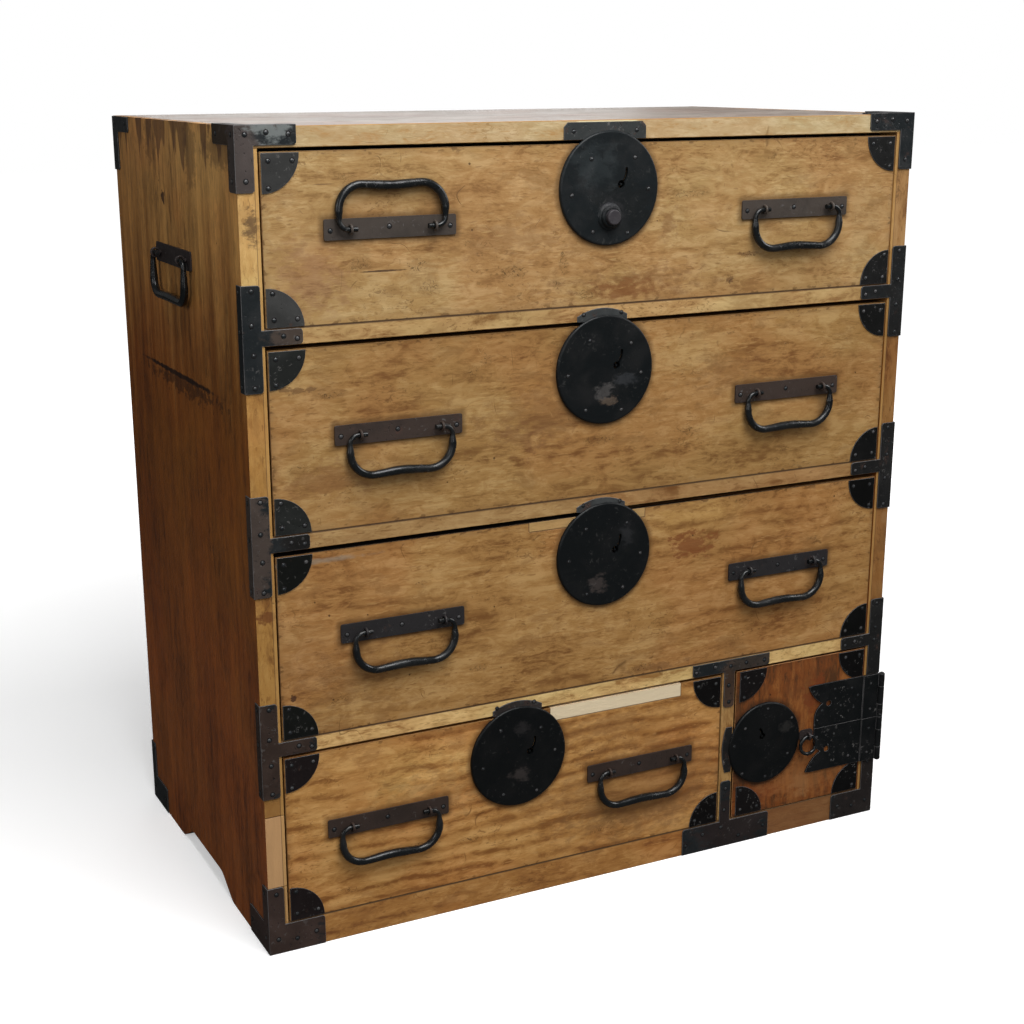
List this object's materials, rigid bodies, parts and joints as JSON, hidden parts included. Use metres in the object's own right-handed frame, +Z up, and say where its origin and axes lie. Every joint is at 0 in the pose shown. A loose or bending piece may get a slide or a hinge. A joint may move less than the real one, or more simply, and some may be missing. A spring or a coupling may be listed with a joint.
{
  "type": "isho clothing chest",
  "caption": "Iron-bound wooden clothing chest with wide drawers, a small hinged side door, round lock plates and drop handles.",
  "frame": {"origin": "bottom centre of the whole chest, on the floor", "axes": "+Z up, +X to the right of someone facing the drawers, +Y from the front to the back"},
  "size_m": [0.8268, 0.4712, 0.8628],
  "materials": {
    "wood_front": "satin",
    "wood_rail": "satin",
    "wood_side": "satin",
    "wood_top": "satin",
    "wood_door": "satin",
    "wood_inner": "matte",
    "iron_lock": "satin",
    "iron_case": "satin",
    "iron_front": "satin",
    "iron_plate": "satin",
    "iron_bail": "satin",
    "iron_bolt": "satin"
  },
  "bodies": {
    "case": {"left_side": "wood_side", "right_side": "wood_side", "top_board": "wood_top", "bottom_board": "wood_rail", "back_boards": "wood_inner", "shelf_upper": "wood_rail", "shelf_middle": "wood_rail", "shelf_lower": "wood_rail", "divider": "wood_rail", "compartment_shelf": "wood_inner", "corner_irons": "iron_case", "strap_irons": "iron_case", "divider_irons": "iron_case", "strike_plates": "iron_case", "side_handle_plates": "iron_plate", "case_hinge_leaves": "iron_front", "hinge_pins": "iron_bail"},
    "side_bail_left": {"side_bail_left": "iron_bail"},
    "side_bail_right": {"side_bail_right": "iron_bail"},
    "drawer_1": {"drawer_1_front": "wood_front", "drawer_1_box": "wood_inner", "drawer_1_corner_irons": "iron_front", "drawer_1_lock_plate": "iron_lock", "drawer_1_handle_plates": "iron_plate"},
    "drawer_1_bail_left": {"drawer_1_bail_left": "iron_bail"},
    "drawer_1_bail_right": {"drawer_1_bail_right": "iron_bail"},
    "drawer_1_bolt": {"drawer_1_bolt": "iron_bolt"},
    "drawer_1_lock_button": {"drawer_1_lock_button": "iron_bail"},
    "drawer_2": {"drawer_2_front": "wood_front", "drawer_2_box": "wood_inner", "drawer_2_corner_irons": "iron_front", "drawer_2_lock_plate": "iron_lock", "drawer_2_handle_plates": "iron_plate"},
    "drawer_2_bail_left": {"drawer_2_bail_left": "iron_bail"},
    "drawer_2_bail_right": {"drawer_2_bail_right": "iron_bail"},
    "drawer_2_bolt": {"drawer_2_bolt": "iron_bolt"},
    "drawer_3": {"drawer_3_front": "wood_front", "drawer_3_box": "wood_inner", "drawer_3_corner_irons": "iron_front", "drawer_3_lock_plate": "iron_lock", "drawer_3_handle_plates": "iron_plate"},
    "drawer_3_bail_left": {"drawer_3_bail_left": "iron_bail"},
    "drawer_3_bail_right": {"drawer_3_bail_right": "iron_bail"},
    "drawer_3_bolt": {"drawer_3_bolt": "iron_bolt"},
    "drawer_4": {"drawer_4_front": "wood_front", "drawer_4_box": "wood_inner", "drawer_4_corner_irons": "iron_front", "drawer_4_lock_plate": "iron_lock", "drawer_4_handle_plates": "iron_plate"},
    "drawer_4_bail_left": {"drawer_4_bail_left": "iron_bail"},
    "drawer_4_bail_right": {"drawer_4_bail_right": "iron_bail"},
    "drawer_4_bolt": {"drawer_4_bolt": "iron_bolt"},
    "door": {"door_panel": "wood_door", "door_corner_irons": "iron_front", "door_lock_plate": "iron_lock", "door_hinge_leaves": "iron_front", "door_ring_staple": "iron_plate"},
    "door_ring": {"door_ring": "iron_bail"},
    "door_bolt": {"door_bolt": "iron_bolt"}
  },
  "joints": [
    {"name": "side_bail_left_swing", "type": "hinge", "parent": "case", "child": "side_bail_left", "pos_m": [-0.4077, 0.0065, 0.7205], "axis": [0, 1, 0], "range_deg": [0, 180]},
    {"name": "side_bail_right_swing", "type": "hinge", "parent": "case", "child": "side_bail_right", "pos_m": [0.4077, 0.0065, 0.7205], "axis": [0, -1, 0], "range_deg": [0, 180]},
    {"name": "drawer_1_slide", "type": "slide", "parent": "case", "child": "drawer_1", "axis": [0, -1, 0], "range_m": [0, 0.34]},
    {"name": "drawer_1_bail_left_swing", "type": "hinge", "parent": "drawer_1", "child": "drawer_1_bail_left", "pos_m": [-0.2447, -0.2285, 0.7626], "axis": [1, 0, 0], "range_deg": [0, 183.2]},
    {"name": "drawer_1_bail_right_swing", "type": "hinge", "parent": "drawer_1", "child": "drawer_1_bail_right", "pos_m": [0.2412, -0.2285, 0.7626], "axis": [-1, 0, 0], "range_deg": [0, 180]},
    {"name": "drawer_1_bolt_throw", "type": "slide", "parent": "drawer_1", "child": "drawer_1_bolt", "axis": [0, 0, 1], "range_m": [0, 0.012]},
    {"name": "drawer_1_lock_button_press", "type": "slide", "parent": "drawer_1", "child": "drawer_1_lock_button", "axis": [0, 1, 0], "range_m": [0, 0.003], "stiffness_N_per_m": 400, "springref_m": -0.002},
    {"name": "drawer_2_slide", "type": "slide", "parent": "case", "child": "drawer_2", "axis": [0, -1, 0], "range_m": [0, 0.34]},
    {"name": "drawer_2_bail_left_swing", "type": "hinge", "parent": "drawer_2", "child": "drawer_2_bail_left", "pos_m": [-0.2397, -0.2285, 0.5589], "axis": [-1, 0, 0], "range_deg": [0, 180]},
    {"name": "drawer_2_bail_right_swing", "type": "hinge", "parent": "drawer_2", "child": "drawer_2_bail_right", "pos_m": [0.2412, -0.2285, 0.5589], "axis": [-1, 0, 0], "range_deg": [0, 180]},
    {"name": "drawer_2_bolt_throw", "type": "slide", "parent": "drawer_2", "child": "drawer_2_bolt", "axis": [0, 0, 1], "range_m": [0, 0.012]},
    {"name": "drawer_3_slide", "type": "slide", "parent": "case", "child": "drawer_3", "axis": [0, -1, 0], "range_m": [0, 0.34]},
    {"name": "drawer_3_bail_left_swing", "type": "hinge", "parent": "drawer_3", "child": "drawer_3_bail_left", "pos_m": [-0.2392, -0.2285, 0.3491], "axis": [-1, 0, 0], "range_deg": [0, 180]},
    {"name": "drawer_3_bail_right_swing", "type": "hinge", "parent": "drawer_3", "child": "drawer_3_bail_right", "pos_m": [0.2412, -0.2285, 0.3491], "axis": [-1, 0, 0], "range_deg": [0, 180]},
    {"name": "drawer_3_bolt_throw", "type": "slide", "parent": "drawer_3", "child": "drawer_3_bolt", "axis": [0, 0, 1], "range_m": [0, 0.012]},
    {"name": "drawer_4_slide", "type": "slide", "parent": "case", "child": "drawer_4", "axis": [0, -1, 0], "range_m": [0, 0.34]},
    {"name": "drawer_4_bail_left_swing", "type": "hinge", "parent": "drawer_4", "child": "drawer_4_bail_left", "pos_m": [-0.2602, -0.2285, 0.1326], "axis": [-1, 0, 0], "range_deg": [0, 180]},
    {"name": "drawer_4_bail_right_swing", "type": "hinge", "parent": "drawer_4", "child": "drawer_4_bail_right", "pos_m": [0.0567, -0.2285, 0.1326], "axis": [-1, 0, 0], "range_deg": [0, 180]},
    {"name": "drawer_4_bolt_throw", "type": "slide", "parent": "drawer_4", "child": "drawer_4_bolt", "axis": [0, 0, 1], "range_m": [0, 0.012]},
    {"name": "door_hinge", "type": "hinge", "parent": "case", "child": "door", "pos_m": [0.4038, -0.2252, 0.1299], "axis": [0, 0, 1], "range_deg": [0, 265]},
    {"name": "door_ring_swing", "type": "hinge", "parent": "door", "child": "door_ring", "pos_m": [0.2937, -0.2279, 0.1241], "axis": [-1, 0, 0], "range_deg": [0, 165]},
    {"name": "door_bolt_throw", "type": "slide", "parent": "door", "child": "door_bolt", "axis": [-1, 0, 0], "range_m": [0, 0.01]}
  ]
}
